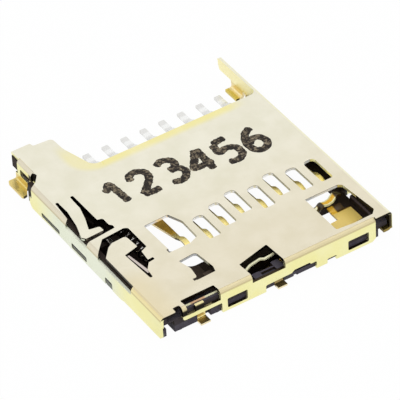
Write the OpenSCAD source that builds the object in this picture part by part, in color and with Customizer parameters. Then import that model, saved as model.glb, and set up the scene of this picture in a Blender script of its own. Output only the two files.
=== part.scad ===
// Push-push memory card connector for surface mounting: one folded metal shell over a
// moulded housing, eight sprung signal contacts, a two-piece card detect switch, and an
// eject slider with its heart-shaped cam track, cam pin and return spring.
// The board is at z = 0, the card goes in towards +Y, and the mechanism is on the +X side.
// Plan outlines are corner lists [x, y, fillet radius]; sheet parts are centrelines
// thickened to the metal's gauge.

/* [Overall] */
// Width over the two side walls of the shell
shell_w = 13; // [12.9:0.05:13.6]
// Length from the tip of the long side wall to the ends of the switch tabs
total_l = 15.05; // [14.9:0.05:15.8]
// Height of the shell above the board
shell_h = 1.42; // [1.4:0.01:1.6]

/* [Shell sheet] */
// Gauge of the shell's sheet metal
sheet_t = 0.15; // [0.12:0.01:0.18]
// Outside radius of the long folds
fold_r = 0.26; // [0.2:0.01:0.3]
// How far the mouth end of the +X wall is set in
wall_inset = 0.5; // [0.4:0.05:0.6]
// How far the tip of the -X wall reaches past the mouth shoulder
leaf_reach = 0.43; // [0.3:0.01:0.6]
// Depth of the mouth step between the shoulder and the straight mouth edge
mouth_step = 3.24; // [3:0.02:3.4]
// Width of the raised lead-in along the mouth edge
lead_w = 0.38; // [0.25:0.01:0.5]
// Rise of the lead-in at its free edge
lead_rise = 0.03; // [0:0.01:0.1]
// How far the pin tongue is pressed down at its tip
tongue_dip = 0.1; // [0.05:0.01:0.12]

/* [Card] */
// Width of the card behind its shoulder
card_w = 11; // [10.9:0.05:11.1]
// Width of the card beside its contact pads
card_front_w = 9.7; // [9.6:0.05:9.8]
// Thickness of the card
card_t = 0.7; // [0.65:0.01:0.75]
// Side clearance of the card at the -X wall
card_gap = 0.12; // [0.08:0.01:0.2]
// Depth from the card's front edge to its shoulder
shoulder_l = 6.3; // [6.1:0.05:6.5]
// Distance from the deep wall to the front edge of a locked card
card_stop = 2.65; // [2.5:0.05:2.8]

/* [Contacts] */
// Number of signal contacts
contact_n = 8; // [8]
// Pitch of the contacts
pitch = 1.1; // [1.05:0.01:1.12]
// Distance from the card's narrow edge to the first contact
first_pad = 1.12; // [1.05:0.01:1.2]
// Gauge of the contact metal
contact_t = 0.12; // [0.08:0.01:0.14]
// Width of a contact at its tail
tail_w = 0.36; // [0.3:0.01:0.42]
// Width of a contact arm at its root
root_w = 0.56; // [0.4:0.01:0.6]
// Width of a contact arm at its neck
neck_w = 0.23; // [0.18:0.01:0.26]
// Width of a contact arm at its tip
tip_w = 0.28; // [0.2:0.01:0.32]
// Height of a free contact's crown above the board
crown_z = 0.96; // [0.85:0.01:1.05]
// Distance from the card's front edge back to the middle row of crowns
pad_reach = 1.98; // [1.9:0.02:2.1]
// Length of the solder tails in front of the housing
tail_l = 1.0; // [0.8:0.05:1.2]

/* [Housing] */
// Gap between the housing's underside and the board
standoff = 0.05; // [0.03:0.01:0.08]
// Height of the card floor above the board
floor_z = 0.42; // [0.4:0.01:0.46]
// Bevel of the floor's front edge under the card
front_bevel = 0.27; // [0.2:0.01:0.28]
// Height of the slider bay's floor above the board
bay_z = 0.28; // [0.25:0.01:0.32]
// Thickness of the bay's outer wall
bay_wall = 0.25; // [0.2:0.01:0.3]
// Clearance between the housing and the shell around it
seat_gap = 0.02; // [0.01:0.005:0.04]
// Height of the deep block that carries the pin's bearing and the switch blade
block_z = 0.83; // [0.75:0.01:0.84]

/* [Eject mechanism] */
// Travel from the free slider to the locked card
lock_travel = 4; // [3.5:0.1:4.2]
// Extra travel to the end stop
over_travel = 0.6; // [0.4:0.05:0.8]
// Running clearance round the slider
slide_gap = 0.05; // [0.03:0.01:0.08]
// Diameter of the cam pin's wire
pin_d = 0.28; // [0.24:0.01:0.3]
// Radial clearance of the pin in its track and its bearing hole
pin_gap = 0.04; // [0.02:0.005:0.06]
// Depth of the cam track
track_d = 0.4; // [0.3:0.02:0.44]
// Diameter of the return spring's wire
wire_d = 0.12; // [0.1:0.01:0.14]
// Outer diameter of the return spring
coil_d = 0.8; // [0.7:0.02:0.84]
// Pitch of the return spring's turns
coil_pitch = 0.39; // [0.36:0.01:0.5]

/* [Switch] */
// Gauge of the switch metal
switch_t = 0.1; // [0.08:0.01:0.12]
// Height of the moving blade's lower edge
blade_z = 0.52; // [0.5:0.01:0.6]
// Height of the moving blade's upper edge
blade_top = 1.15; // [1:0.01:1.18]
// Reach of the switch tabs past the deep wall
tab_reach = 0.15; // [0.1:0.01:0.3]
// Width of a switch tab
tab_w = 0.52; // [0.4:0.02:0.6]
// Open room beside the moving contact's tab
tab_room = 0.2; // [0.1:0.05:0.3]
// Width of the moving contact's paddle
paddle_w = 0.34; // [0.3:0.01:0.4]

/* [Hidden] */

// Smallest cut that makes a face clean
eps = 0.01;
// Longest arc of one facet, in degrees
facet = 12;

// Faces of the shell
half_w = shell_w / 2;
wall_in = half_w - sheet_t;
plate_z = shell_h - sheet_t;
deep_y = total_l / 2 - tab_reach;
leaf_y = -total_l / 2;
mouth_y = leaf_y + leaf_reach;
edge_y = mouth_y + mouth_step;
fold_mid = fold_r - sheet_t / 2;
shoulder_x = half_w - wall_inset;
// Ends of the deep wall, and of the long slot along its lower edge
deep_x0 = 0.95 - half_w;
deep_x1 = half_w - 1.22;
long_x0 = -2.16;
long_x1 = 0.7;

// Edges of a card in the slot
card_x = card_gap - wall_in;
step_x = card_x + card_front_w;
rear_x = card_x + card_w;
lock_y = deep_y - card_stop;

// Rows of contacts and the housing's front edge
crown_shift = [0.18, 0.33, 0, -0.32, 0.03, -0.32, 0, 0];
row_y = lock_y - pad_reach;
front_y = mouth_y + 1.92;
floor_x = 3.35;
tail_y = front_y - tail_l;
root_y = row_y - 2.7;
arm_z = floor_z - 0.16;
// How far every neck lies to +X of its tip, and how far all arms but the first lean to -X
neck_shift = 0.1;
arm_lean = 0.05;

// Snap lugs: start and end past the mouth edge, lower and upper edge of their slots
lug_rows = [[0.47, 2.14, 0.16, 0.41], [3.24, 4.61, 0.14, 0.44]];
// Gap above a lug in its slot
lug_gap = 0.1;

// Inner face of the thick wall at the mouth
post_x = shoulder_x - 0.55;

// Housing faces
house_x = wall_in - seat_gap;
house_y = deep_y - sheet_t - seat_gap;
house_top = plate_z - seat_gap;
block_y = deep_y - 0.93;
wall_top = plate_z - tongue_dip - seat_gap;
// Stand-off pads that rest on the board
feet = [[half_w - 1.16, deep_y - 0.5], [half_w - 3.2, deep_y - 0.5], [-1.15, deep_y - 0.5],
        [1 - half_w, deep_y - 1.4], [0.6 - half_w, front_y + 1], [half_w - 1.9, mouth_y + 0.9],
        [half_w - 1.3, 0]];

// Slider bay, pin and spring
stroke = lock_travel + over_travel;
push_y = lock_y - shoulder_l - lock_travel;
slider_x0 = step_x + 0.2;
slider_x1 = house_x - bay_wall - slide_gap;
slider_top = plate_z - slide_gap;
bay_x0 = step_x + 0.05;
pin_z = plate_z - tongue_dip - seat_gap - pin_d / 2;
track_z = pin_z - pin_d / 2 - slide_gap;
pin_x = half_w - 1.16;
pin_y = deep_y - 0.8;
slider_l = 6.5;
pin_end_y = push_y + slider_l - 0.4;
pin_len = pin_y - pin_end_y;
rest_x = pin_x - 0.06;
lane_x = pin_x + 0.34;
back_x = pin_x - 0.42;
coil_x = step_x + 0.72;
coil_z = bay_z + slide_gap + coil_d / 2;
coil_y0 = push_y + 4.9;
coil_y1 = block_y;
coil_turns = floor((coil_y1 - coil_y0) / coil_pitch);
pin_end_z = track_z - track_d + slide_gap;
cam_x0 = coil_x + coil_d / 2 + 0.05;

// Switch
anchor_y = deep_y - 0.36;
blade_grip = 0.95;
tab1_x = half_w - 2.34;
tab2_x = -0.14;
// Bevelled rail beside the switch
rail_x = 0.55 - half_w;
rail_z = 0.75;
fit_gap = 0.01;
paddle_turn = 15.7;
// Jog in the blade behind the hole of the deep fold
jog_x = 0.2;
// Middle of the paddle at the blade's free end
paddle_x = -4;
// -X side and width of the fixed contact's raised finger
finger_x = -5.44;
finger_w = 0.75;
// -X side and width of the stop for a card pushed too far
stop_x = 1.75;
stop_w = 1.2;
// -X side of the deep block's thick end
thick_x = 3.05;

// Middle of contact k, counted from the card's narrow edge
function contact_x(k) = step_x - first_pad - k * pitch;

// Points of the fillet arc at corner b between corners a and c
function unit(v) = v / norm(v);
function fillet(a, b, c) =
    let (p = [b[0], b[1]], r = b[2])
    r == 0 ? [p] :
    let (u = unit([a[0], a[1]] - p), v = unit([c[0], c[1]] - p), h = acos(u * v) / 2,
         m = p + unit(u + v) * r / sin(h), s = p + u * r / tan(h) - m, e = p + v * r / tan(h) - m,
         a0 = atan2(s[1], s[0]), turn = atan2(s[0] * e[1] - s[1] * e[0], s * e),
         n = max(2, ceil(abs(turn) / facet)))
    [for (i = [0 : n]) m + r * [cos(a0 + turn * i / n), sin(a0 + turn * i / n)]];
// Closed outline and open path through a corner list
function outline(q) = let (n = len(q))
    [for (i = [0 : n - 1]) each fillet(q[(i + n - 1) % n], q[i], q[(i + 1) % n])];
function path(q) = let (n = len(q))
    [for (i = [0 : n - 1])
        each i == 0 || i == n - 1 ? [[q[i][0], q[i][1]]] : fillet(q[i - 1], q[i], q[i + 1])];
// One side of a path, moved h to its left
function left(v) = [-v[1], v[0]];
function side(p, h) = let (n = len(p))
    [for (i = [0 : n - 1])
        let (u = unit(p[max(i, 1)] - p[max(i, 1) - 1]), v = unit(p[min(i, n - 2) + 1] - p[min(i, n - 2)]),
             m = unit(left(u) + left(v)))
        p[i] + m * h / (m * left(u))];
function reversed(p) = [for (i = [len(p) - 1 : -1 : 0]) p[i]];
// Corner list of an axis-aligned rectangle with one fillet radius
function rect(x0, y0, x1, y1, r = 0) = [[x0, y0, r], [x1, y0, r], [x1, y1, r], [x0, y1, r]];

module blank(corners) { polygon(outline(corners)); }
module ribbon(corners, t) {
    p = path(corners);
    polygon(concat(side(p, t / 2), reversed(side(p, -t / 2))));
}
// Extrusions of a plan, of a Y-Z side view along X, and of an X-Z end view along Y
module plan(z0, z1) { translate([0, 0, z0]) linear_extrude(z1 - z0) children(); }
module side_view(x0, x1) { translate([x0, 0, 0]) rotate([90, 0, 90]) linear_extrude(x1 - x0) children(); }
module end_view(y0, y1) { translate([0, y1, 0]) rotate([90, 0, 0]) linear_extrude(y1 - y0) children(); }
module slab(x0, y0, z0, x1, y1, z1) { translate([x0, y0, z0]) cube([x1 - x0, y1 - y0, z1 - z0]); }

// Shell

// Outline of the flat plate; the folds take over at its sides and deep edge
module plate_plan() {
    blank([[shoulder_x - fold_mid, mouth_y, 0], [4.86, mouth_y, 0.08], [4.8, mouth_y + 0.24, 0.06],
           [3.79, mouth_y + 0.32, 0.22], [3.74, mouth_y + 1.32, 0.9], [3.2, edge_y - 0.02, 0.5],
           [-3.1, edge_y, 0.4], [-3.66, edge_y - 0.18, 0.3], [-5.07, edge_y + 0.14, 0.4],
           [-5.7, edge_y - 0.06, 0.3], [-half_w + fold_r, edge_y + 0.02, 0.3],
           [-half_w + fold_r, leaf_y + 0.47, 0], [-half_w, leaf_y + 0.47, 0],
           [-half_w, deep_y, 0], [deep_x0, deep_y, 0], [deep_x0, deep_y - 0.15, 0.06],
           [5.3, deep_y - 0.15, 0.06], [5.3, deep_y - 0.3, 0.06], [5.66, deep_y - 0.3, 0.06],
           [5.66, deep_y, 0.05], [half_w, deep_y, 0], [half_w, edge_y - 0.38, 0],
           [shoulder_x - fold_mid, edge_y - 1.2, 0]]);
}
module notch_plan() {
    blank([[shoulder_x + 0.6, edge_y - 1.28, 0], [shoulder_x - 0.12, edge_y - 1.28, 0.06],
           [shoulder_x - 0.2, edge_y - 0.98, 0.1], [shoulder_x + 0.14, edge_y - 0.55, 0.1],
           [shoulder_x + 0.36, edge_y - 0.42, 0.05], [shoulder_x + 0.6, edge_y - 0.4, 0]]);
}
module contact_windows() {
    for (k = [1 : contact_n - 1]) {
        y1 = row_y + crown_shift[k] + 0.93;
        x = contact_x(k) - 0.02;
        blank([[x - 0.31, y1 - 1.73, 0.22], [x + 0.35, y1 - 1.73, 0.28], [x + 0.35, y1, 0.08],
               [x - 0.31, y1, 0.13]]);
    }
    x = contact_x(0);
    blank([[x + 1.27, row_y - 1.36, 0.08], [x - 0.08, row_y - 1.4, 0.12], [x - 0.4, row_y - 0.6, 0.3],
           [x - 0.37, row_y + 0.74, 0.08], [x + 0.13, row_y + 0.96, 0.2], [x + 1.14, row_y + 0.97, 0.04],
           [x + 1.3, row_y + 0.9, 0.03], [x + 1.22, row_y + 0.72, 0.04]]);
}
module card_window() {
    blank([[step_x + 0.17, lock_y - 0.24, 0.05], [step_x - 0.8, lock_y - 0.32, 0.2],
           [step_x - 0.94, lock_y + 1, 0.3], [step_x - 0.85, lock_y + 1.34, 0.06],
           [step_x + 0.24, lock_y + 1.38, 0.05], [step_x + 0.06, lock_y + 1.1, 0.05],
           [step_x - 0.02, lock_y + 0.5, 0.3]]);
}
module switch_window() {
    blank([[-3.61, lock_y - 0.43, 0.02], [-5.5, lock_y - 0.43, 0.14], [-5.68, lock_y - 0.29, 0.12],
           [-5.88, deep_y - 0.6, 0.12], [-5.63, deep_y - 0.35, 0.12], [-4.53, deep_y - 0.33, 0.1],
           [-3.6, deep_y - 0.42, 0.08]]);
}
// Opening round the pin tongue, with a slit on either side of its root
module tongue_opening() {
    x = half_w;
    y = edge_y + 3.98;
    blank([[x - 0.46, y - 2.62, 0.06], [x - 0.31, y - 2.62, 0.06], [x - 0.2, y - 1.3, 0.1],
           [x + 0.1, y - 1.12, 0], [x + 0.1, y + 0.74, 0], [x - 0.2, y + 0.7, 0],
           [x - 1.71, y + 0.55, 0.06], [x - 1.71, y + 0.34, 0.1], [x - 1.59, y + 0.2, 0.06],
           [x - 1.59, y - 0.36, 0.14], [x - 1.32, y - 0.42, 0.06], [x - 1.3, y - 2.62, 0.06],
           [x - 1.14, y - 2.62, 0.06], [x - 1.12, y - 2.3, 0], [x - 0.45, y - 2.3, 0]]);
}
module tongue_plan() {
    x = half_w;
    y = edge_y + 3.98;
    blank([[x - 0.45, y - 2.45, 0], [x - 0.47, y - 1.75, 0.3], [x - 0.32, y - 0.68, 0.4],
           [x - 0.08, y + 0.16, 0.08], [x - 0.24, y + 0.34, 0.05], [x - 1.24, y + 0.3, 0.05],
           [x - 1.2, y - 0.02, 0.08], [x - 0.66, y - 0.12, 0.05], [x - 0.92, y - 0.86, 0.4],
           [x - 1.11, y - 1.66, 0.3], [x - 1.12, y - 2.45, 0]]);
}
// Opening round the lock flap
module flap_opening() {
    x = half_w;
    y = lock_y - 3.2;
    blank([[x - 0.76, y - 0.48, 0.1], [x - 2.03, y - 0.58, 0.2], [x - 2.2, y - 0.45, 0.1],
           [x - 2.2, y + 1.17, 0.04], [x - 1.82, y + 1.34, 0.06], [x - 1.75, y + 2.02, 0.04],
           [x - 2.04, y + 1.98, 0.06], [x - 2.04, y + 2.16, 0.06], [x - 1.68, y + 2.2, 0.05],
           [x - 1.36, y + 2.6, 0.05], [x - 1.3, y + 3.16, 0.06], [x - 1.16, y + 3.16, 0.06],
           [x - 1.04, y + 1.12, 0.04], [x - 1.85, y + 0.92, 0.05], [x - 1.78, y - 0.02, 0.16],
           [x - 1.0, y + 0.02, 0.08], [x - 0.7, y + 0.2, 0.05], [x - 0.2, y + 0.78, 0.05],
           [x - 0.2, y + 3.2, 0.02], [x + 0.1, y + 3.28, 0], [x + 0.1, y + 0.45, 0],
           [x - 0.14, y + 0.2, 0.05], [x - 0.44, y - 0.13, 0.1]]);
}
module flap_finger() {
    x = half_w;
    y = lock_y - 3.2;
    blank([[x - 1.42, y + 2.78, 0], [x - 1.26, y + 2.78, 0], [x - 1.1, y + 1.24, 0.03],
           [x - 1.2, y + 1.2, 0.03]]);
}
// Holes that run over the deep fold
module fold_holes() {
    plan(shell_h - 0.44, shell_h + eps)
        blank([[1.48, deep_y - 1.03, 0.04], [-0.33, deep_y - 1.48, 0.06], [-0.42, deep_y + eps, 0],
               [1.42, deep_y + eps, 0]]);
    difference() {
        plan(0.86, shell_h + eps)
            blank([[half_w - 3.25, deep_y - 0.54, 0.05], [half_w - 1.4, deep_y - 0.53, 0.08],
                   [half_w - 1.46, deep_y + eps, 0], [half_w - 3.3, deep_y + eps, 0]]);
        slab(half_w - 2.39, deep_y - sheet_t, 0, half_w - 1.92, deep_y + 2 * eps, shell_h - 0.2);
    }
}
module side_wall_px() {
    y = edge_y;
    blank([[y - 0.62, 2, 0], [y - 0.62, 0.26, 0.04], [y - 0.43, 0.05, 0.04], [y + 2.9, 0.05, 0.05],
           [y + 3.1, 0.02, 0.05], [lock_y - 0.9, 0.02, 0.05], [lock_y - 0.6, 0.1, 0.05],
           [deep_y - 0.1, 0.1, 0.05], [deep_y - 0.1, 1.1, 0.1], [deep_y, 1.2, 0], [deep_y, 2, 0]]);
}
// Open slot in the +X wall, over a foot of the housing
module open_slot() { blank(rect(lock_y - 2.31, -0.1, lock_y - 1.67, 0.45, 0.1)); }
// Slots for the housing's lugs, alike in both side walls
module lug_slots() {
    for (s = lug_rows) blank(rect(edge_y + s[0], s[2], edge_y + s[1], s[3], 0.08));
}
module side_wall_mx() {
    blank([[leaf_y, 0.86, 0.2], [leaf_y + 0.12, 0.56, 0.1], [mouth_y + 0.72, 0.56, 0.05],
           [mouth_y + 0.76, 0.3, 0], [mouth_y + 0.76, 0.2, 0], [mouth_y + 1.76, 0.2, 0],
           [mouth_y + 1.8, 0.5, 0.05], [front_y + 0.1, 0.5, 0.05], [front_y + 0.14, 0.04, 0.05],
           [lock_y - 0.9, 0.04, 0.05], [lock_y - 0.85, 0.48, 0.05], [lock_y - 0.2, 0.48, 0.05],
           [lock_y - 0.15, 0.04, 0.05], [deep_y - 0.58, 0.04, 0.05], [deep_y - 0.54, 0.3, 0.05],
           [deep_y, 0.3, 0.1], [deep_y, 2, 0], [leaf_y + 0.47, 2, 0], [leaf_y + 0.47, shell_h, 0],
           [leaf_y, shell_h - 0.03, 0.4]]);
}
module deep_wall() {
    x = half_w;
    difference() {
        blank([[deep_x0, 2, 0], [deep_x0, 0.19, 0.04], [deep_x0 + 0.19, 0.04, 0.04],
               [x - 3.36, 0.04, 0.05], [x - 3.36, 0.64, 0.06], [deep_x1, 0.64, 0.14], [deep_x1, 2, 0]]);
        blank(rect(x - 4.77, 0.2, x - 3.66, 0.75, 0.07));
        blank(rect(-5.15, 0.21, -3.97, 0.77, 0.07));
        blank(rect(-3.29, -0.1, -2.77, 0.3, 0.07));
        blank([[long_x1, -0.1, 0], [long_x1, 0.44, 0.08], [-0.75, 0.46, 0.04], [-0.9, 0.59, 0.05],
               [-1.75, 0.59, 0.05], [-1.85, 0.49, 0.04], [long_x0, 0.49, 0.06], [long_x0, -0.1, 0]]);
    }
}
// Outline of the solder foot at the mouth of the +X wall
module foot_plan() {
    y = edge_y - 1.28;
    blank([[shoulder_x - 0.6, mouth_y + 0.46, 0], [half_w - 0.05, mouth_y + 0.46, 0.08],
           [half_w, mouth_y + 0.6, 0.08], [half_w, y, 0.12], [half_w - 0.28, y - 0.08, 0.1],
           [half_w - 0.46, y - 0.44, 0.1], [shoulder_x - 0.6, y - 0.44, 0]]);
}
// Raised lead-in strip that runs from a to b along the mouth edge, its plate on the left
module lead_in(a, b) {
    d = b - a;
    translate([a[0], a[1], shell_h - sheet_t / 2]) rotate([0, 0, atan2(d[1], d[0])]) rotate([90, 0, 90])
        linear_extrude(norm(d)) ribbon([[0, lead_rise, 0], [lead_w, 0, 0.8],
                                        [lead_w + 0.3, 0, 0]], sheet_t);
}
module shell() {
    half = half_w - sheet_t / 2;
    mid = shell_h - sheet_t / 2;
    color([0.9, 0.87, 0.79]) union() {
        difference() {
            union() {
                // Plate with both side walls, cut to their outlines
                intersection() {
                    end_view(leaf_y, deep_y) ribbon([[-half, 0, 0], [-half, mid, fold_mid],
                                                      [half, mid, fold_mid], [half, 0, 0]], sheet_t);
                    union() {
                        difference() {
                            plan(plate_z - 0.5, shell_h + eps) plate_plan();
                            slab(-6, edge_y - 1, 0, 2.7, edge_y + lead_w, 2);
                        }
                        side_view(-half_w - eps, -half_w + fold_r) side_wall_mx();
                        side_view(half_w - fold_r, half_w + eps) side_wall_px();
                    }
                }
                // Mouth end of the +X wall with its solder foot
                end_view(mouth_y + 0.66, edge_y - 1.14)
                    ribbon([[shoulder_x - 1, mid, 0], [shoulder_x - sheet_t / 2, mid, fold_mid],
                            [shoulder_x - sheet_t / 2, 0.3, 0]], sheet_t);
                end_view(mouth_y, mouth_y + 0.67)
                    ribbon([[shoulder_x - 1, mid, 0], [shoulder_x - 0.1, mid, 0]], sheet_t);
                intersection() {
                    end_view(mouth_y + 0.46, edge_y - 1.28)
                        ribbon([[shoulder_x - sheet_t / 2, 0.54, 0],
                                [shoulder_x - sheet_t / 2, sheet_t / 2, 0.16],
                                [half_w, sheet_t / 2, 0]], sheet_t);
                    plan(-eps, 1) foot_plan();
                }
                // Foot under the -X wall
                end_view(mouth_y + 0.76, mouth_y + 1.76)
                    ribbon([[-half, 0.6, 0], [-half, sheet_t / 2, 0.2],
                            [-half + 0.45, sheet_t / 2, 0]], sheet_t);
                // Curled end of the -X wall
                end_view(deep_y - 0.5, deep_y)
                    ribbon([[-half, 0.8, 0], [-half, 0.37, 0.2], [-half + 0.42, 0.37, 0]], sheet_t);
                // Deep wall
                intersection() {
                    side_view(deep_x0, deep_x1)
                        ribbon([[deep_y - 1.2, mid, 0], [deep_y - sheet_t / 2, mid, fold_mid],
                                [deep_y - sheet_t / 2, 0, 0]], sheet_t);
                    end_view(deep_y - 2, deep_y + eps) deep_wall();
                }
                lead_in([-6, edge_y], [2.72, edge_y]);
            }
            plan(plate_z - 0.6, shell_h + 1) {
                notch_plan();
                contact_windows();
                card_window();
                switch_window();
            }
            plan(plate_z - 0.25, shell_h + 1) {
                tongue_opening();
                flap_opening();
            }
            fold_holes();
            side_view(wall_in - 0.1, half_w + 1) open_slot();
            for (x = [-1, 1]) side_view(x * half_w - 0.3, x * half_w + 0.3) lug_slots();
            side_view(shoulder_x - 0.3, shoulder_x + eps)
                blank(rect(mouth_y + 0.92, 0.55, edge_y - 1.42, 0.98, 0.1));
        }
        intersection() {
            side_view(half_w - 1.4, half_w)
                ribbon([[edge_y + 1.4, mid, 0], [edge_y + 2.4, mid, 1],
                        [edge_y + 4.4, mid - tongue_dip, 0]], sheet_t);
            plan(plate_z - 0.4, shell_h) tongue_plan();
        }
        plan(plate_z, shell_h - 0.02) flap_finger();
    }
}

// Housing

// Floor outline, with the mouth horn under the shoulder of the shell
module floor_plan() {
    wall = shoulder_x - sheet_t - seat_gap;
    blank([[-house_x, front_y, 0.1], [floor_x, front_y, 0.3], [floor_x + 0.6, mouth_y + 0.35, 0.25],
           [wall, mouth_y + 0.35, 0.1], [wall, edge_y - 1.03, 0], [house_x, edge_y - 1.03, 0.06],
           [house_x, house_y, 0.06], [-house_x, house_y, 0.06]]);
}
module floor_openings() {
    // Under the sprung arms
    blank([[card_x + 0.52, root_y, 0.1], [step_x - 0.42, root_y, 0.1], [step_x - 0.42, lock_y - 0.5, 0.5],
           [card_x + 0.52, lock_y - 0.72, 0.1]]);
    // Under the switch
    blank(rect(paddle_x - 1.05, lock_y - 0.32, paddle_x - 0.1, lock_y + 0.92, 0.08));
    // Sight notch at the -X wall
    blank(rect(-house_x - eps, lock_y - 0.88, -house_x + 0.3, lock_y - 0.2, 0.05));
}
// Lugs that snap into the slots of one side wall
module lugs() {
    c = 0.03;
    for (s = lug_rows)
        slab(house_x - 0.1, edge_y + s[0] + c, s[2] + c, half_w - 0.04, edge_y + s[1] - c, s[3] - lug_gap);
}
// Channels for the flat parts of the contacts
module contact_channels() {
    c = fit_gap;
    z1 = arm_z + contact_t / 2 + c;
    for (k = [0 : contact_n - 1]) {
        x = contact_x(k);
        slab(x - tail_w / 2 - c, front_y - eps, -eps, x + tail_w / 2 + c, root_y - 0.69, z1);
        slab(x - root_w / 2 - c, root_y - 0.7, -eps, x + root_w / 2 + c, root_y + eps, z1);
    }
}
// Recess for the fixed switch contact, with the trough of its tab
module fixed_contact_recess() {
    x0 = tab2_x - tab_w / 2 - fit_gap;
    x1 = tab2_x + tab_w / 2 + fit_gap;
    plan(floor_z - switch_t - fit_gap, floor_z + fit_gap) {
        fixed_plate_plan(fit_gap);
        blank(rect(finger_x - fit_gap, lock_y - 0.26, finger_x + finger_w + fit_gap, lock_y + 0.3));
        blank(rect(x0, lock_y + 1.3, x1, deep_y));
    }
    slab(x0, deep_y - 0.6, -eps, x1, deep_y, floor_z + eps);
}
// Slot of the moving blade's anchor and tab, and the room in front of it that the blade bends in
module moving_contact_recess() {
    h = switch_t / 2 + fit_gap;
    x0 = tab1_x - tab_w / 2 - fit_gap;
    x1 = tab1_x + tab_w / 2 + fit_gap;
    slab(tab1_x - blade_grip - fit_gap, anchor_y - h, floor_z, tab1_x + 0.85, anchor_y + h, 2);
    slab(x0, anchor_y - h, -eps, x1, deep_y, blade_z + 0.04);
    slab(x0 - tab_room, anchor_y - h, -eps, x1, deep_y, floor_z);
    plan(blade_z - 0.03, 2)
        blank([[tab1_x - blade_grip, anchor_y + h, 0], [jog_x + 1, anchor_y - 0.15, 0],
               [jog_x + 1, block_y, 0], [tab1_x - blade_grip, block_y, 0]]);
}
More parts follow.
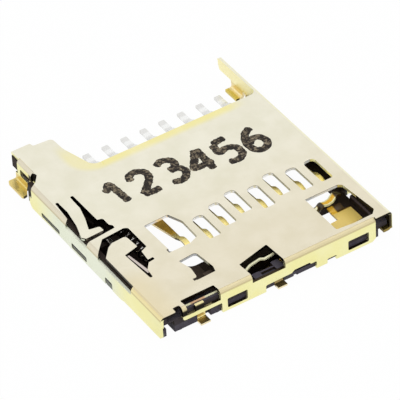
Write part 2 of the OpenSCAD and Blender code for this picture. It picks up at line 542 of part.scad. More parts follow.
// Wedge that bevels the front edge of the floor
module front_bevel_cut() {
    side_view(-half_w, floor_x + 0.05)
        polygon([[front_y - 1, floor_z - front_bevel], [front_y, floor_z - front_bevel],
                 [front_y + front_bevel + eps, floor_z + eps], [front_y - 1, floor_z + eps]]);
}
module housing() {
    color([0.16, 0.15, 0.17]) difference() {
        union() {
            // Card floor
            difference() {
                plan(standoff, floor_z) difference() {
                    floor_plan();
                    floor_openings();
                }
                front_bevel_cut();
            }
            // Stand-off pads on the board
            for (p = feet) translate([p[0], p[1], 0]) cylinder(d = 0.6, h = standoff + eps, $fn = 32);
            // Deep block: a low bar behind the switch blade and a thick end at the mechanism
            plan(floor_z - 0.1, block_z) difference() {
                blank([[-house_x, deep_y - 0.63, 0.05], [thick_x, deep_y - 0.63, 0.05], [thick_x, block_y, 0],
                       [pin_x - 0.36, block_y, 0], [pin_x - 0.36, pin_y - 0.36, 0.05],
                       [pin_x + 0.33, pin_y - 0.36, 0.05], [pin_x + 0.33, block_y, 0.05],
                       [house_x, block_y, 0], [house_x, house_y, 0.05], [-house_x, house_y, 0.05]]);
                translate([pin_x, pin_y]) circle(r = pin_d / 2 + pin_gap, $fn = 48);
            }
            // Two posts and a low ridge behind the blade's jog
            plan(block_z - eps, block_z + 0.15) {
                blank(rect(jog_x - 0.66, block_y + 0.18, jog_x - 0.24, house_y, 0.04));
                blank(rect(jog_x + 0.54, block_y + 0.4, jog_x + 0.97, house_y, 0.04));
                blank(rect(jog_x - 0.3, block_y + 0.46, jog_x + 0.6, block_y + 0.54));
            }
            slab(jog_x - 0.66, block_y + 0.18, floor_z - eps, jog_x - 0.24, house_y - 0.4, block_z);
            // Backing in front of the blade's anchor
            slab(tab1_x - blade_grip, anchor_y + switch_t / 2 + fit_gap, block_z - eps,
                 half_w - 1.42, house_y, blade_top - 0.03);
            // Stop for a card pushed too far
            plan(floor_z - eps, floor_z + card_t * 0.75)
                blank(rect(stop_x, lock_y + over_travel + 0.06, stop_x + stop_w, lock_y + 1.2, 0.1));
            // Outer wall of the slider bay and the thick wall at the mouth
            slab(house_x - bay_wall, edge_y - 1.03, standoff, house_x, house_y, wall_top);
            slab(post_x, mouth_y + 0.68, standoff,
                 shoulder_x - sheet_t - seat_gap, edge_y - 0.98, wall_top);
            plan(0.63, house_top)
                blank(rect(post_x, mouth_y + 0.05, shoulder_x - 0.05, mouth_y + 0.64, 0.06));
            plan(0.63, house_top)
                blank(rect(post_x, mouth_y + 0.3, shoulder_x - fold_r, mouth_y + 1.2, 0.03));
            // Rib between the card and the spring
            slab(bay_x0, coil_y0 + stroke + 0.1, standoff, slider_x0 - slide_gap, block_y + eps, 1);
            // Peg inside the deep end of the spring
            translate([coil_x, block_y + eps, coil_z]) rotate([90, 0, 0])
                cylinder(d = coil_d - 2 * wire_d - 0.14, h = 1, $fn = 32);
            // Side rail and lugs
            slab(-house_x, front_y + 0.6, floor_z - eps, card_x - seat_gap, lock_y - 0.9, floor_z + 0.25);
            end_view(lock_y - 0.1, block_y + 0.1)
                polygon([[-house_x, floor_z - eps], [rail_x, floor_z - eps], [rail_x, rail_z - 0.07],
                         [rail_x - 0.07, rail_z], [-house_x, rail_z]]);
            lugs();
            mirror([1, 0, 0]) lugs();
            // Foot in the open slot of the +X wall
            slab(house_x - 0.1, lock_y - 2.28, 0, half_w - 0.04, lock_y - 1.7, 0.36);
        }
        // Bay for the slider, with the run of its hook arm
        plan(bay_z, 2) {
            blank(rect(bay_x0 - 0.02, coil_y0 + stroke + 0.1, slider_x0 - slide_gap, 0, 0));
            difference() {
                blank([[slider_x0 - slide_gap, push_y - 0.1, 0.05], [rear_x - 0.5, push_y - 1.5, 0.05],
                       [post_x, push_y - 1.5, 0.05], [post_x, edge_y - 0.98, 0],
                       [house_x - bay_wall, edge_y - 0.98, 0], [house_x - bay_wall, block_y, 0],
                       [slider_x0 - slide_gap, block_y, 0]]);
                blank(rect(pin_x - 0.36, pin_y - 0.36, pin_x + 0.33, block_y + 1, 0.05));
            }
        }
        plan(bay_z + 0.02, bay_z + 0.6) translate([pin_x, pin_y]) circle(r = pin_d / 2 + pin_gap, $fn = 48);
        contact_channels();
        fixed_contact_recess();
        moving_contact_recess();
        // Recess behind the long slot of the deep wall
        slab(long_x0 + 0.06, house_y - 0.3, 0.3, long_x1 - 1.15, house_y + eps, 0.62);
        slab(long_x0 + 1, house_y - 0.3, -eps, long_x0 + 1.2, house_y + eps, 0.13);
        // Corners left open under the ends of the deep block
        slab(pin_x + 0.33, block_y - 0.1, -eps, house_x - 0.2, deep_y, 0.74);
        slab(house_x - 0.21, block_y + 0.3, 0.5, house_x + eps, deep_y, 0.74);
        slab(-house_x - eps, deep_y - 0.6, -eps, -5.8, deep_y, 0.56);
    }
}

// Signal contacts

// Contact k: solder tail, buried strip, sprung arm with its crown, and tip
module contact(k) {
    x = contact_x(k);
    tip = k == 0 ? x : x - arm_lean;
    neck = tip + neck_shift;
    y1 = row_y + crown_shift[k];
    z0 = contact_t / 2;
    top = crown_z - z0;
    color([0.86, 0.72, 0.4]) intersection() {
        side_view(x - root_w / 2, x + root_w / 2)
            ribbon([[tail_y, z0, 0], [front_y - 0.22, z0, 0.15], [front_y + 0.12, arm_z, 0.15],
                    [root_y, arm_z, 0.6], [y1 - 0.35, top - 0.04, 0.16], [y1 + 0.05, top + 0.04, 0.6],
                    [y1 + 0.5, top - 0.1, 0]], contact_t);
        plan(-eps, 2)
            blank([[x - tail_w / 2, tail_y, 0.05], [x + tail_w / 2, tail_y, 0.05],
                   [x + tail_w / 2, root_y - 0.7, 0], [x + root_w / 2, root_y - 0.65, 0],
                   [x + root_w / 2, root_y + 0.4, 0.3], [neck + neck_w / 2, y1 - 0.5, 0.3],
                   [tip + tip_w / 2, y1 - 0.2, 0.2], [tip + tip_w / 2, y1 + 0.5, 0.05],
                   [tip - tip_w / 2, y1 + 0.5, 0.05], [tip - tip_w / 2, y1 - 0.26, 0.06],
                   [neck - neck_w / 2, y1 - 0.42, 0.06], [x - root_w / 2, root_y + 0.4, 0.3],
                   [x - root_w / 2, root_y - 0.65, 0], [x - tail_w / 2, root_y - 0.7, 0]]);
    }
}

// Card detect switch

// Contact plate and strip, widened all round by c
module fixed_plate_plan(c) {
    y = lock_y;
    blank([[finger_x - 0.3 - c, y + 0.2 - c, 0.06], [finger_x + finger_w + c, y + 0.2 - c, 0],
           [finger_x + finger_w + c, y + 0.72 - c, 0], [paddle_x - 0.24 + c, y + 0.76 - c, 0.05],
           [paddle_x - 0.24 + c, y + 1.36 - c, 0],
           [tab2_x - tab_w / 2, y + 1.36 - c, 0], [tab2_x - tab_w / 2, y + 1.66 + c, 0],
           [paddle_x - 1.1 - c, y + 1.66 + c, 0.1], [paddle_x - 1.3 - c, y + 1.36 + c, 0],
           [finger_x - 0.3 - c, y + 1.3 + c, 0.1]]);
}
module switch_fixed_contact() {
    z = floor_z - switch_t / 2;
    x0 = tab2_x - tab_w / 2;
    color([0.9, 0.75, 0.42]) union() {
        plan(floor_z - switch_t, floor_z) fixed_plate_plan(0);
        // Finger that the paddle comes down on
        side_view(finger_x, finger_x + finger_w)
            ribbon([[lock_y + 0.3, z, 0], [lock_y + 0.14, z, 0.2],
                    [lock_y - 0.2, z + 0.09, 0]], switch_t);
        side_view(x0, x0 + tab_w)
            ribbon([[lock_y + 1.36, z, 0], [deep_y - 0.42, z, 0.12], [deep_y - 0.22, switch_t / 2, 0.12],
                    [deep_y + tab_reach, switch_t / 2, 0]], switch_t);
    }
}
module end_paddle() {
    translate([0, -paddle_w / 2, 0]) rotate([90, 0, 0]) mirror([0, 0, 1])
        linear_extrude(paddle_w)
            ribbon([[-0.06, 0.86, 0], [0.28, 1.02, 0.12], [0.66, 0.84, 0.12], [0.98, 0.82, 0.1],
                    [1.32, 1.03, 0.1], [1.62, 0.84, 0]], switch_t);
}
module switch_moving_contact() {
    a = anchor_y;
    color([0.9, 0.75, 0.42]) union() {
        plan(blade_z, blade_top)
            ribbon([[tab1_x + 0.84, a, 0], [tab1_x - blade_grip, a, 0.4], [jog_x + 1.15, a - 0.4, 0.2],
                    [jog_x + 0.75, a - 0.61, 0.3], [jog_x + 0.1, a - 0.73, 0.07],
                    [jog_x - 0.08, a - 0.61, 0.07], [jog_x - 0.7, a - 0.68, 1],
                    [paddle_x + 0.25, lock_y + 0.22, 0.2], [paddle_x - 0.1, lock_y - 0.02, 0]], switch_t);
        // Paddle at the free end, arched twice, that the card's front edge pushes
        translate([paddle_x, lock_y + 0.02, 0]) rotate([0, 0, 180 + paddle_turn]) end_paddle();
        side_view(tab1_x - tab_w / 2, tab1_x + tab_w / 2)
            ribbon([[a, blade_z + 0.1, 0], [a, switch_t / 2, 0.12],
                    [deep_y + tab_reach, switch_t / 2, 0]], switch_t);
    }
}

// Eject mechanism

// Cam track: a slanted lane for the way in and a straight lane for the way out, either side
// of the heart, whose notch holds the pin while the card is locked
module cam_track() {
    w = pin_d / 2 + pin_gap;
    y0 = pin_end_y - stroke;
    slant = (lane_x - rest_x) / stroke;
    difference() {
        blank([[back_x - w, pin_end_y - 0.9, 0.4], [rest_x - w, pin_end_y + w, w * 0.9],
               [rest_x + w, pin_end_y + w, w * 0.9], [lane_x + w, y0, 0.1], [lane_x + w, y0 - w, w * 0.9],
               [lane_x - w, y0 - w, w * 0.9], [back_x - w, y0 - w + 0.12, 0.12]]);
        blank([[back_x + w, pin_end_y - 1.3, 0.03], [rest_x - w + slant * 1.3, pin_end_y - 1.3, 0.03],
               [lane_x - w - slant * 0.4, y0 + 0.4, 0.05], [lane_x - w - 0.12, y0 + 0.34, 0.03],
               [pin_x - 0.1, y0 + 0.85, 0.06], [back_x + w + 0.04, y0 + 0.38, 0.02],
               [back_x + w, y0 + 0.5, 0.02]]);
    }
}
module eject_slider() {
    z0 = bay_z + slide_gap;
    inner = post_x - slide_gap;
    color([0.2, 0.19, 0.2]) difference() {
        union() {
            // Cam body
            plan(z0, track_z)
                blank([[cam_x0, push_y, 0.05], [inner, push_y, 0.1], [inner, push_y + 0.85, 0.05],
                       [slider_x1, push_y + 0.85, 0.1], [slider_x1, push_y + slider_l, 0.15],
                       [cam_x0, push_y + slider_l, 0.15]]);
            // Pusher that the card's shoulder meets, and the seat of the spring
            plan(z0, slider_top)
                blank([[slider_x0, push_y, 0.15], [cam_x0 + eps, push_y, 0], [cam_x0 + eps, coil_y0, 0],
                       [slider_x0, coil_y0, 0.1]]);
            // Hook arm with the nose that enters the card's notch
            plan(z0, floor_z + card_t - 0.1)
                blank([[rear_x + 0.08, push_y + 0.05, 0], [rear_x + 0.08, push_y - 0.7, 0.05],
                       [rear_x - 0.34, push_y - 0.85, 0.1], [rear_x - 0.34, push_y - 1.15, 0.1],
                       [rear_x + 0.1, push_y - 1.4, 0.1], [rear_x + 0.42, push_y - 1.3, 0.1],
                       [rear_x + 0.42, push_y + 0.05, 0]]);
            // Peg inside the mouth end of the spring
            translate([coil_x, coil_y0 - eps, coil_z]) rotate([-90, 0, 0])
                cylinder(d = coil_d - 2 * wire_d - 0.14, h = 0.8, $fn = 32);
        }
        plan(track_z - track_d, track_z + 1) cam_track();
        // Lightening pocket in the pusher's top
        plan(slider_top - 0.25, slider_top + 1)
            blank(rect(slider_x0 + 0.2, push_y + 1.2, cam_x0 - 0.2, coil_y0 - 0.6, 0.12));
    }
}
// Wire pin: a straight shank with both ends bent down
module cam_pin() {
    r = pin_d / 2 + 0.1;
    color([0.75, 0.76, 0.78]) translate([pin_x, pin_y, pin_z])
        rotate([0, 0, atan2(rest_x - pin_x, pin_len)]) {
            translate([0, -r, 0]) rotate([90, 0, 0]) cylinder(d = pin_d, h = pin_len - 2 * r, $fn = 32);
            for (end = [[0, bay_z + 0.06, 0], [1, pin_end_z, 180]])
                translate([0, -end[0] * pin_len, 0]) rotate([0, 0, end[2]]) {
                    translate([0, -r, -r]) rotate([0, 90, 0]) rotate([0, 0, 90])
                        rotate_extrude(angle = 90, $fn = 48) translate([r, 0]) circle(d = pin_d, $fn = 32);
                    translate([0, 0, end[1] - pin_z]) cylinder(d = pin_d, h = pin_z - r - end[1], $fn = 32);
                }
        }
}
// Return spring: a wire of coil_turns turns swept along the helix
module eject_spring() {
    sides = 6;
    steps = 12;
    r = (coil_d - wire_d) / 2;
    y0 = coil_y0 + wire_d / 2 + 0.01;
    rise = (coil_y1 - coil_y0 - wire_d - 0.02) / (coil_turns * steps);
    n = coil_turns * steps;
    ring = [for (i = [0 : n], j = [0 : sides - 1])
        let (a = 360 * i / steps, b = 360 * j / sides, q = r + wire_d / 2 * cos(b))
        [coil_x + q * cos(a), y0 + rise * i + wire_d / 2 * sin(b), coil_z + q * sin(a)]];
    walls = [for (i = [0 : n - 1], j = [0 : sides - 1])
        let (p = i * sides + j, q = i * sides + (j + 1) % sides)
        each [[p, q, q + sides], [p, q + sides, p + sides]]];
    first = [for (j = [sides - 1 : -1 : 0]) j];
    last = [for (j = [0 : sides - 1]) n * sides + j];
    color([0.78, 0.79, 0.8]) polyhedron(ring, concat(walls, [first, last]), convexity = 10);
}

shell();
housing();
contact(0);  // contact_1
contact(1);  // contact_2
contact(2);  // contact_3
contact(3);  // contact_4
contact(4);  // contact_5
contact(5);  // contact_6
contact(6);  // contact_7
contact(7);  // contact_8
switch_fixed_contact();
switch_moving_contact();
eject_slider();
cam_pin();
eject_spring();
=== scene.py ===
"""Finish of a push-push memory card socket: flash-plated sheet shell, black mouldings,
gold contacts with tinned tails, bright wire parts and a row of ink digits on the cover.

Lengths are written in millimetres and turned into metres with MM. The connector stands on
the floor at z = 0, the card goes in towards +Y and the eject mechanism is on the +X side.
"""
import math

import bmesh
import bpy
import numpy as np
from mathutils import Matrix, Vector


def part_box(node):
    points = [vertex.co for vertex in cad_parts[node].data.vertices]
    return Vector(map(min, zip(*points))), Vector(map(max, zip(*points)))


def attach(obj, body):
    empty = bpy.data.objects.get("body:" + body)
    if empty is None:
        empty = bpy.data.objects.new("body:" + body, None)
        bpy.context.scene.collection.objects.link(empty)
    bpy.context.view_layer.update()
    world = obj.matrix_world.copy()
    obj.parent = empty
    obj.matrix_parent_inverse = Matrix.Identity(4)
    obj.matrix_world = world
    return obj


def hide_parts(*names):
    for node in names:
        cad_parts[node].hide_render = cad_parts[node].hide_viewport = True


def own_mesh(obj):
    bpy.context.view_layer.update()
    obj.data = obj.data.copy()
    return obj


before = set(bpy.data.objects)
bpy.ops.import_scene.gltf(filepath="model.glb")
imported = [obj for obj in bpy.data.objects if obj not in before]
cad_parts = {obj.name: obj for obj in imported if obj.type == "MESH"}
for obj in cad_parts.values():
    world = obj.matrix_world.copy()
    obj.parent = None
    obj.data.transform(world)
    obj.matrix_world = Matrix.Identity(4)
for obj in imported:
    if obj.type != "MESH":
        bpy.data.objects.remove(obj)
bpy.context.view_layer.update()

MM = 0.001

# Camera, fitted to the corners of the shell
AZIMUTH = 149.39
ELEVATION = 40.32
ROLL = -3.55
DISTANCE = 174.6
AIM = (0.12, -0.15, 0.283)
AIM_RIGHT = -0.502
AIM_UP = 0.050
LENS = 326.4
SENSOR = 36.0

# Faces of the shell, and the y that parts a signal contact's arm from its solder tail
PLATE_TOP = 1.42
PLATE_UNDER = 1.27
HALF_WIDTH = 6.5
DEEP_WALL = 7.375
TAIL_END = -4.6

# Return spring: its wire, its pitch and the steps of its mesh
SPRING_WIRE = 0.12
SPRING_PITCH = 0.39
SPRING_STEPS = 28
WIRE_SIDES = 12

# Rounded inner corner of the mouth's outline
LIP_CORNER = (2.85, -4.76)
LIP_RADIUS = 0.9

# Paddle of the switch: its angle from -X, and its middle measured across it
PADDLE_TURN = 15.7
PADDLE_CORE = (5.57, 5.73)

# Soft edges that more than one colour follows: a mask changes between the two lengths
CUTS_FROM_Y = (-5.4, -5.3)
CARD_WINDOW_Y = (4.0, 4.1)
WARM_FROM_Y = (3.4, 5.0)
BLADE_FROM_X = (-4.0, -3.9)

# How much of a normal lies along an axis, on a face that is about square to the axis
SQUARE_ON = (0.7, 0.9)

# Row of ink digits, read from +X to -X with their heads towards the mouth. Lengths in mm; the
# seeds shift the ragged edge from digit to digit, stroke to stroke and side to side
DIGIT_TALL = 1.78
DIGIT_WIDE = 1.12
BRUSH = 0.42
BRUSH_RAGGED = 0.16
BRUSH_END = 0.6
STROKE_STEPS = 64
STROKE_SIDES = 20
STROKE_LAP = 0.0012
SPAN_STEPS = 24
INK_FILM = 0.012
FILM_AT_END = 0.25
FILM_UNDER = 0.3
DIGIT_SEED = 11
STROKE_SEED = 3
EDGE_SEED = 7
DIGIT_LEANS = (4, -3, 2, -2, 5, 0)
DIGIT_PLACES = ((3.40, -1.36), (1.92, -1.34), (0.36, -1.28), (-1.16, -1.08), (-2.66, -0.98), (-4.12, -0.94))

# Studio: the lamps' places and powers, the world's strength, the paper's grey and how far its
# glow covers the shadows
LAMPS = {"key": ((-90, 90, 220), 0.12), "fill": ((160, -40, 120), 0.05)}
LAMP_SIDE = 260
WORLD_STRENGTH = 0.82
PAPER_GREY = 0.92
PAPER_GLOW = 0.97
FLOOR_HALF = 400
FLOOR_DROP = 0.002


def srgb(r, g, b):
    """Scene colour of an 8-bit display colour: the display curve is undone channel by channel."""
    levels = [c / 255 for c in (r, g, b)]
    return tuple(c / 12.92 if c <= 0.04045 else ((c + 0.055) / 1.055) ** 2.4 for c in levels) + (1.0,)


# Node helpers

def put(tree, kind, **values):
    """Adds a node of a kind; each value goes to the property, or else the input, of that name."""
    node = tree.nodes.new(kind)
    for name, value in values.items():
        if hasattr(node, name):
            setattr(node, name, value)
        else:
            node.inputs[name.replace("_", " ")].default_value = value
    return node


def join(tree, source, output, target, entry):
    """Links one node's output to another node's input, both by name or number."""
    tree.links.new(source.outputs[output], target.inputs[entry])


class Value:
    """A number or a colour that a node tree works out at each point. Where it is a number from
    0 to 1 it serves as a mask: a * b is where both hold and a | b where either does."""

    def __init__(self, tree, output):
        self.tree = tree
        self.output = output

    def combine(self, operation, other=0.0):
        """This number put through a math node, with another number as the second term."""
        node = put(self.tree, "ShaderNodeMath", operation=operation)
        feed(self, node.inputs[0])
        feed(other, node.inputs[1])
        return Value(self.tree, node.outputs[0])

    def __mul__(self, other):
        return self.combine("MULTIPLY", other)

    def __or__(self, other):
        return self.combine("MAXIMUM", other)

    def rises(self, low, high, ends=(0.0, 1.0)):
        """Smooth step between low and high, from the first of the ends to the second."""
        node = put(self.tree, "ShaderNodeMapRange", interpolation_type="SMOOTHSTEP")
        feed(self, node.inputs[0])
        for entry, number in zip(("From Min", "From Max", "To Min", "To Max"), (low, high, *ends)):
            node.inputs[entry].default_value = number
        return Value(self.tree, node.outputs[0])

    def falls(self, low, high):
        """Smooth step from 1 at low to 0 at high."""
        return self.rises(low, high, ends=(1.0, 0.0))

    def within(self, low, high, soft):
        """1 where the number lies between low and high, falling to 0 over soft on either side."""
        return self.rises(low - soft, low) * self.falls(high, high + soft)


def feed(value, entry):
    """Links a value to a node's input, or else writes a plain number or colour there."""
    if isinstance(value, Value):
        value.tree.links.new(value.output, entry)
    else:
        entry.default_value = value


def tint(mask, first, second):
    """Colour that goes from the first to the second with a mask."""
    mix = put(mask.tree, "ShaderNodeMix", data_type="RGBA")
    for entry, value in ((0, mask), (6, first), (7, second)):
        feed(value, mix.inputs[entry])
    return Value(mask.tree, mix.outputs[2])


def blend(mask, low, high):
    """Number that goes from low to high with a mask."""
    mix = put(mask.tree, "ShaderNodeMix", data_type="FLOAT")
    for entry, value in ((0, mask), (2, low), (3, high)):
        feed(value, mix.inputs[entry])
    return Value(mask.tree, mix.outputs[0])


def group(name, inputs, outputs):
    """Empty shader node group with its float or vector inputs and outputs, and its two end nodes."""
    tree = bpy.data.node_groups.new(name, "ShaderNodeTree")
    for label, kind, value in inputs:
        socket = tree.interface.new_socket(label, in_out="INPUT", socket_type=kind)
        if value is not None:
            socket.default_value = value
    for label, kind in outputs:
        tree.interface.new_socket(label, in_out="OUTPUT", socket_type=kind)
    return tree, tree.nodes.new("NodeGroupInput"), tree.nodes.new("NodeGroupOutput")


def grain_group():
    """Fine surface grain: a cloudy mask from slow noise, and a height from fine noise with pits."""
    tree, enter, leave = group(
        "fine_grain",
        [("Vector", "NodeSocketVector", None), ("Cloud Scale", "NodeSocketFloat", 900.0),
         ("Grain Scale", "NodeSocketFloat", 9000.0)],
        [("Cloud", "NodeSocketFloat"), ("Grain", "NodeSocketFloat")])
    cloud = put(tree, "ShaderNodeTexNoise", Detail=4.0, Roughness=0.6)
    grain = put(tree, "ShaderNodeTexNoise", Detail=3.0, Roughness=0.7)
    for noise, scale in ((cloud, "Cloud Scale"), (grain, "Grain Scale")):
        join(tree, enter, "Vector", noise, "Vector")
        join(tree, enter, scale, noise, "Scale")
    feed(Value(tree, cloud.outputs[0]).rises(0.3, 0.7), leave.inputs["Cloud"])
    join(tree, grain, 0, leave, "Grain")
    return tree


def place_group():
    """Where a point is and how it faces: its coordinates in mm and the size of its normal's parts."""
    tree, enter, leave = group(
        "place_on_part",
        [("Vector", "NodeSocketVector", None), ("Normal", "NodeSocketVector", None)],
        [(label, "NodeSocketFloat") for label in ("X", "Y", "Z", "Facing X", "Facing Y", "Facing Z")])
    scale = put(tree, "ShaderNodeVectorMath", operation="SCALE")
    scale.inputs["Scale"].default_value = 1 / MM
    size = put(tree, "ShaderNodeVectorMath", operation="ABSOLUTE")
    for source, sized, label in (("Vector", scale, ""), ("Normal", size, "Facing ")):
        join(tree, enter, source, sized, 0)
        split = put(tree, "ShaderNodeSeparateXYZ")
        join(tree, sized, 0, split, 0)
        for axis in "XYZ":
            join(tree, split, axis, leave, label + axis)
    return tree


GRAIN = grain_group()
PLACE = place_group()


class Skin:
    """New material whose Principled shader holds the given values and takes its bump, in mm,
    from the grain. Its masks come from where a point is (x, y, z in mm), how much it faces along
    X, Y and Z (side, end, up: each 0 to 1), the cloud and the grain. Colours are painted one
    over another."""

    def __init__(self, name, cloud_scale, grain_scale, bump, **shader):
        self.material = bpy.data.materials.new(name)
        self.material.use_nodes = True
        tree = self.material.node_tree
        self.shader = tree.nodes["Principled BSDF"]
        for entry, value in shader.items():
            self.shader.inputs[entry.replace("_", " ")].default_value = value
        where = put(tree, "ShaderNodeTexCoord")
        grain = put(tree, "ShaderNodeGroup", node_tree=GRAIN)
        grain.inputs["Cloud Scale"].default_value = cloud_scale
        grain.inputs["Grain Scale"].default_value = grain_scale
        join(tree, where, "Object", grain, "Vector")
        place = put(tree, "ShaderNodeGroup", node_tree=PLACE)
        join(tree, where, "Object", place, "Vector")
        join(tree, where, "Normal", place, "Normal")
        relief = put(tree, "ShaderNodeBump", Strength=0.6, Distance=bump * MM)
        join(tree, grain, "Grain", relief, "Height")
        join(tree, relief, "Normal", self.shader, "Normal")
        self.x, self.y, self.z = (Value(tree, place.outputs[axis]) for axis in "XYZ")
        self.side, self.end, self.up = (Value(tree, place.outputs["Facing " + axis]) for axis in "XYZ")
        self.cloud, self.grain = (Value(tree, grain.outputs[label]) for label in ("Cloud", "Grain"))
        self.colour = None

    def paint(self, mask, colour):
        """Covers the colour so far with another one by a mask."""
        self.colour = tint(mask, self.colour, colour)

    def done(self, **values):
        """The material, with its colour and the given values on the shader."""
        feed(self.colour, self.shader.inputs["Base Color"])
        for entry, value in values.items():
            feed(value, self.shader.inputs[entry])
        return self.material


# Materials

def lip_distance(x, y):
    """Distance in mm from the mouth's outline into the plate: that of a rounded corner, which is
    the length of the parts of (x, y) beyond the arc's centre, less the arc's radius."""
    beyond = put(x.tree, "ShaderNodeCombineXYZ")
    for entry, (value, centre) in enumerate(zip((x, y), LIP_CORNER)):
        feed(value.combine("SUBTRACT", centre) | 0.0, beyond.inputs[entry])
    length = put(x.tree, "ShaderNodeVectorMath", operation="LENGTH")
    join(x.tree, beyond, 0, length, 0)
    return Value(x.tree, length.outputs["Value"]).combine("SUBTRACT", LIP_RADIUS)


def folded_sheet(skin):
    """Colours of the flats, the lead-in round the mouth, the folds and the walls, all of one plated
    sheet: their differences by facing and place are painted light and shade. Flats are painted
    paler towards the mouth, and the lead-in carries a painted yellow glow. A fold is painted darker
    than what it joins, with a painted shade line where the wall begins. The +X fold and the plate
    beside it carry a painted warm glow at the deep corner, the middle of the +X wall a painted pale
    green reflection, and the -X fold and the -X wall's leaf at the mouth are painted paler as light."""
    x, y, up, cloud = skin.x, skin.y, skin.up, skin.cloud
    # Painted light: the flats paler towards the mouth
    mouth_flat = tint(cloud, srgb(231, 227, 206), srgb(238, 234, 217))
    deep_flat = tint(cloud, srgb(226, 217, 191), srgb(232, 224, 202))
    flat = tint(y.rises(-2.0, 6.5), mouth_flat, deep_flat)
    # Painted glow: yellow along the lead-in round the mouth
    lead_in_glow = lip_distance(x, y).falls(0.2, 0.62) * y.rises(-6.4, -4.9) * x.rises(-5.6, -4.2)
    lead_in_glow = lead_in_glow * blend(x.rises(2.4, 3.8), 1.0, 0.65) * blend(cloud, 0.95, 0.7)
    flat = tint(lead_in_glow, flat, srgb(243, 233, 160))
    # Painted warm glow at the deep corner, on the +X side of the plate and on the folds
    warm = y.rises(*WARM_FROM_Y)
    flat = tint(warm * x.rises(4.6, 6.3) * 0.5, flat, srgb(229, 213, 168))
    aside = x.rises(5.6, 5.8)
    # Painted shade: the folds darker than the flats and walls
    upper_fold = tint(aside, srgb(202, 190, 153), tint(warm, srgb(216, 208, 187), srgb(221, 206, 157)))
    lower_fold = tint(aside, srgb(225, 212, 169), tint(warm, srgb(222, 214, 189), srgb(238, 226, 172)))
    fold = tint(up.rises(0.4, 0.85), lower_fold, upper_fold)
    # Painted light: the -X fold paler
    fold = tint(x.falls(-6.1, -6.0), fold, srgb(240, 236, 206))
    wall = tint(cloud, srgb(246, 240, 170), srgb(250, 246, 190))
    # Painted reflection: pale green on the middle of the +X wall
    wall = tint(aside * y.within(-1.6, 2.2, 2.6), wall, srgb(233, 237, 215))
    # Painted light: the -X wall's leaf at the mouth paler
    mouth_leaf = x.falls(-6.2, -6.0) * y.falls(-4.6, -4.2)
    wall = tint(mouth_leaf, wall, srgb(255, 246, 192))
    sheet = tint(up.rises(0.1, 0.3), wall, fold)
    sheet = tint(up.rises(0.955, 0.99), sheet, flat)
    folded = y.rises(DEEP_WALL - 0.5, DEEP_WALL - 0.4) | x.rises(6.1, 6.2)
    # Painted shade: a dark line where a wall begins under its fold
    wall_begins_shade = folded * up.within(0.06, 0.3, 0.05)
    return tint(wall_begins_shade * 0.5, sheet, srgb(186, 168, 124))


def paint_feet(skin):
    """Gold solder feet, with dark sheared ends and a pale riser on the -X one. The -X foot is
    painted a darker gold than the +X one, as shade.
    """
    x, cloud = skin.x, skin.cloud
    foot = skin.z.falls(0.42, 0.56) * skin.y.falls(-5.0, -4.6)
    # Painted shade: the -X foot a darker gold than the +X one
    far_gold = tint(cloud, srgb(214, 192, 92), srgb(228, 208, 118))
    near_gold = tint(cloud, srgb(226, 202, 122), srgb(238, 220, 152))
    skin.paint(foot, tint(x.rises(-1.0, 1.0), far_gold, near_gold))
    skin.paint(foot * skin.end.rises(*SQUARE_ON), srgb(62, 52, 20))
    skin.paint(foot * x.falls(-6.2, -6.14) * 0.8, srgb(250, 232, 180))


def paint_cuts(skin):
    """Sheared faces of the cuts through the plate. They are painted dark as shade round the lock
    flap and the tongue and at the deep wall. In the windows they carry a painted pale reflection
    under a thin painted shade line, and a painted white reflection where they face along Y. The
    low step where the plate's flat runs past the start of a fold is coloured like the fold, with a
    painted warm glow at the deep +X corner, and the +X wall's top in the lock flap's slot is
    painted pale as light on a face in shade. Gives the masks of the dark, the white and the dull
    faces."""
    x, y, z, side, end, up = skin.x, skin.y, skin.z, skin.side, skin.end, skin.up
    deep_step = y.rises(7.2, 7.215) * end.rises(0.5, 0.7)
    side_step = x.rises(6.32, 6.34) * side.rises(0.5, 0.7)
    fold_step = z.rises(PLATE_TOP - 0.035, PLATE_TOP - 0.028) * (deep_step | side_step)
    in_fold = x.within(3.7, 6.31, 0.01) * y.rises(*CUTS_FROM_Y) * z.rises(0.85, 0.9)
    in_plate = z.rises(PLATE_UNDER - 0.02, PLATE_UNDER)
    sheared = fold_step.falls(0.0, 1.0) * up.falls(0.05, 0.2) * (in_fold | in_plate)
    edge = blend(y.rises(*CARD_WINDOW_Y), 3.56, 3.8)
    flap_side = x.combine("GREATER_THAN", edge) * y.rises(*CUTS_FROM_Y)
    # Painted shade: sheared faces dark round the lock flap, the tongue and the deep wall
    dark = sheared * (flap_side | y.rises(5.4, 5.5))
    skin.paint(dark, srgb(30, 24, 18))
    # Painted warm glow on the fold's step at the deep +X corner
    corner = x.rises(6.31, 6.33) * y.rises(*WARM_FROM_Y)
    skin.paint(fold_step, tint(corner, srgb(226, 215, 184), srgb(222, 207, 160)))
    # Painted light: the +X wall's top in the slot, a face in shade, painted pale
    wall_top = x.rises(6.33, 6.34) * z.within(1.0, 1.04, 0.01) * up.rises(0.9, 0.95)
    skin.paint(wall_top, srgb(250, 251, 230))
    # Painted reflection: pale sheared faces in the windows, white where they face along Y
    pale = sheared * flap_side.falls(0.0, 1.0) * x.rises(-5.5, -5.45) * y.within(-0.8, 5.35, 0.05)
    skin.paint(pale, srgb(206, 202, 178))
    white = pale * end.rises(0.25, 0.5)
    skin.paint(white, srgb(253, 253, 252))
    # Painted shade: a thin dark line along the top of the pale faces
    edge_shade_line = pale * z.rises(PLATE_TOP - 0.03, PLATE_TOP - 0.02)
    skin.paint(edge_shade_line, srgb(128, 120, 102))
    return dark, white, pale | wall_top


